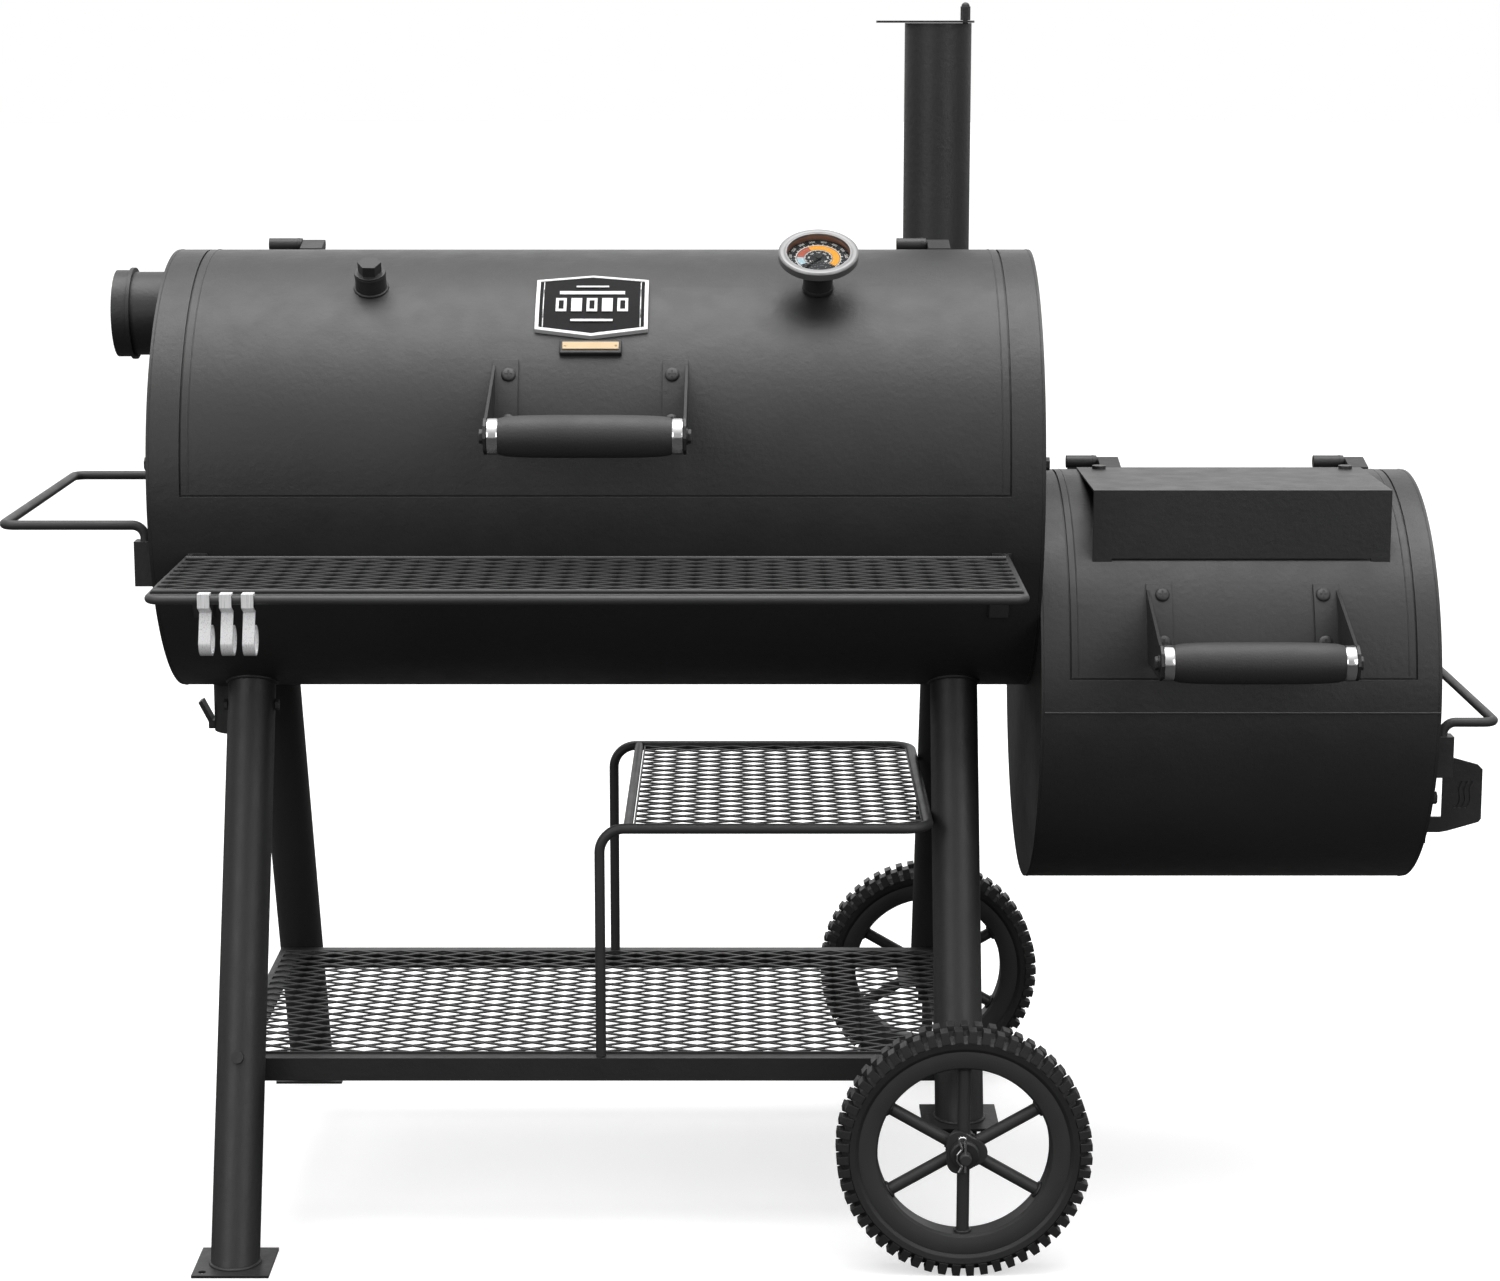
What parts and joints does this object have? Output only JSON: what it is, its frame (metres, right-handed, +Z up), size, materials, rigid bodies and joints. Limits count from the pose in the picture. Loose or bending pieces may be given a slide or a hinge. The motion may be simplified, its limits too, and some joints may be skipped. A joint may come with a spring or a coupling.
{
  "type": "barrel charcoal grill",
  "caption": "Horizontal barrel charcoal grill with offset firebox, two hinged lids, rear stack, front mesh shelf, lower shelf, wheels and loop handles.",
  "frame": {"origin": "centre of the footprint box on the ground", "axes": "+X along the barrel towards the firebox, -Y towards the cook, +Z up"},
  "size_m": [1.574, 0.8596, 1.2989],
  "materials": {
    "satin_black": "satin",
    "grip_black": "matte",
    "bright_steel": "satin",
    "chrome": "polished",
    "zinc": "satin",
    "dial": "matte",
    "clear": "polished",
    "needle_black": "satin",
    "bare_steel": "satin",
    "badge_silver": "satin"
  },
  "bodies": {
    "root": {"barrel_shell": "satin_black", "barrel_end_left": "satin_black", "barrel_end_right": "satin_black", "lid_stop_strips": "satin_black", "pipe_collars": "satin_black", "stack_boot": "satin_black", "chimney_pipe": "satin_black", "damper_pivot": "satin_black", "main_hinge_barrels": "satin_black", "end_handles": "satin_black", "handle_sockets": "satin_black", "grate_rails": "satin_black", "smoke_baffle": "satin_black", "firebox_upper": "satin_black", "firebox_lower": "satin_black", "firebox_end_left": "satin_black", "firebox_end_right": "satin_black", "frame_bolts": "satin_black", "firebox_hinge_barrels": "satin_black", "shelf_frame": "satin_black", "shelf_mesh": "satin_black", "leg_front_left": "satin_black", "leg_rear_left": "satin_black", "leg_front_right": "satin_black", "leg_rear_right": "satin_black", "axle_hangers": "satin_black", "axle": "zinc", "lower_shelf_frame": "satin_black", "lower_shelf_mesh": "satin_black", "rack_frame": "satin_black", "rack_mesh": "satin_black", "drain_spout": "satin_black", "bucket_hook": "satin_black", "tool_hooks": "bright_steel", "side_door_hinge": "satin_black"},
    "main_lid": {"main_lid_shell": "satin_black", "main_lid_knuckles": "satin_black", "main_handle_brackets": "satin_black", "main_handle_grip": "grip_black", "main_handle_hardware": "chrome", "thermometer_case": "bright_steel", "thermometer_dial": "dial", "thermometer_glass": "clear", "plugged_coupling": "satin_black", "badge": "badge_silver"},
    "thermometer_pointer": {"thermometer_needle": "needle_black"},
    "firebox_lid": {"firebox_lid_shell": "satin_black", "firebox_lid_knuckles": "satin_black", "firebox_handle_brackets": "satin_black", "firebox_handle_grip": "grip_black", "firebox_handle_hardware": "chrome", "heat_shield": "satin_black"},
    "stack_damper": {"damper_cap": "satin_black"},
    "air_door": {"side_door": "satin_black"},
    "spare_port_cap": {"port_cap": "satin_black"},
    "front_wheel": {"wheel_front": "satin_black"},
    "rear_wheel": {"wheel_rear": "satin_black"},
    "left_grate": {"cooking_grate_left": "bare_steel"},
    "right_grate": {"cooking_grate_right": "bare_steel"},
    "coal_grate": {"charcoal_grate": "bare_steel"}
  },
  "joints": [
    {"name": "main_lid_hinge", "type": "hinge", "parent": "root", "child": "main_lid", "pos_m": [-0.173, 0.13178, 1.035], "axis": [-1, 0, 0], "range_deg": [0, 105]},
    {"name": "thermometer_needle_turn", "type": "hinge", "parent": "main_lid", "child": "thermometer_pointer", "pos_m": [0.067, -0.08081, 1.03517], "axis": [0, 0.5075, -0.8616], "range_deg": [0, 270]},
    {"name": "firebox_lid_hinge", "type": "hinge", "parent": "root", "child": "firebox_lid", "pos_m": [0.517, 0.12978, 0.794], "axis": [-1, 0, 0], "range_deg": [0, 100]},
    {"name": "damper_swing", "type": "hinge", "parent": "root", "child": "stack_damper", "pos_m": [0.247, 0.36978, 1.2767], "axis": [0, 0, 1], "range_deg": [-100, 100]},
    {"name": "air_door_hinge", "type": "hinge", "parent": "root", "child": "air_door", "pos_m": [0.725, 0.20778, 0.47], "axis": [0, 0, 1], "range_deg": [0, 100]},
    {"name": "port_cap_pull", "type": "slide", "parent": "root", "child": "spare_port_cap", "axis": [-1, 0, 0], "range_m": [0, 0.06]},
    {"name": "front_wheel_spin", "type": "hinge", "parent": "root", "child": "front_wheel", "pos_m": [0.2165, -0.27222, 0.132], "axis": [0, 1, 0], "continuous": true},
    {"name": "rear_wheel_spin", "type": "hinge", "parent": "root", "child": "rear_wheel", "pos_m": [0.2165, 0.39178, 0.132], "axis": [0, 1, 0], "continuous": true},
    {"name": "left_grate_lift", "type": "slide", "parent": "root", "child": "left_grate", "axis": [0, 0, 1], "range_m": [0, 0.03]},
    {"name": "right_grate_lift", "type": "slide", "parent": "root", "child": "right_grate", "axis": [0, 0, 1], "range_m": [0, 0.03]},
    {"name": "coal_grate_lift", "type": "slide", "parent": "root", "child": "coal_grate", "axis": [0, 0, 1], "range_m": [0, 0.03]}
  ]
}
